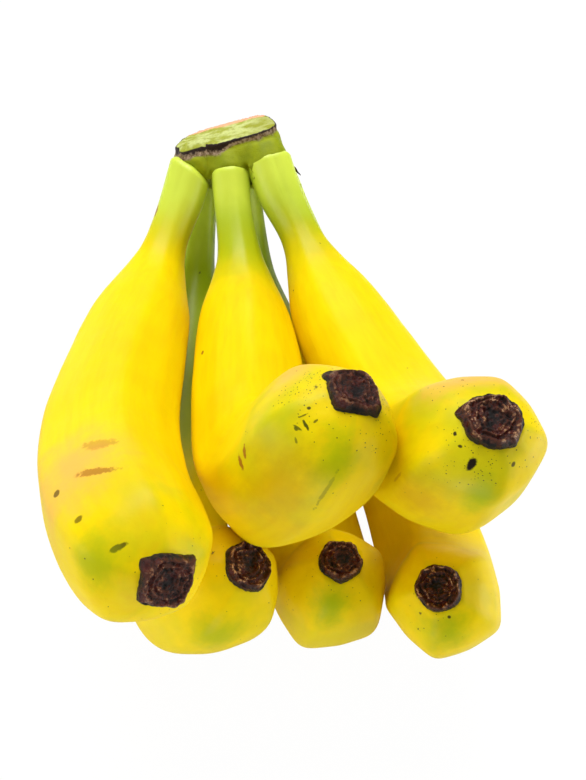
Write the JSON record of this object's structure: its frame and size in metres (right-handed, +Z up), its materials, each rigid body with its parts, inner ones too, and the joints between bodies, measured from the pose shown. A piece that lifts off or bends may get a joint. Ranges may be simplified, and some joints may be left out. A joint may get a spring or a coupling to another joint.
{
  "type": "bunch of bananas",
  "caption": "Ripe yellow bananas in two curved rows on one cut green crown, lying on their backs with the dark blossom scars turned up.",
  "frame": {"origin": "on the table, under the middle of the bunch's bounding box", "axes": "+Z up from the table, +Y towards the lifted crown, +X to the right of the bunch seen from its tips"},
  "size_m": [0.1458, 0.2128, 0.1476],
  "materials": {
    "crown": "fibrous green stalk, satin",
    "skin": "smooth waxy peel, satin",
    "dried_tissue": "dry and matte"
  },
  "bodies": {
    "root": {"crown": "crown", "banana_upper_left": "skin", "banana_upper_middle": "skin", "banana_upper_right": "skin", "banana_lower_left": "skin", "banana_lower_middle": "skin", "banana_lower_right": "skin", "dry_flake": "dried_tissue"}
  },
  "joints": []
}
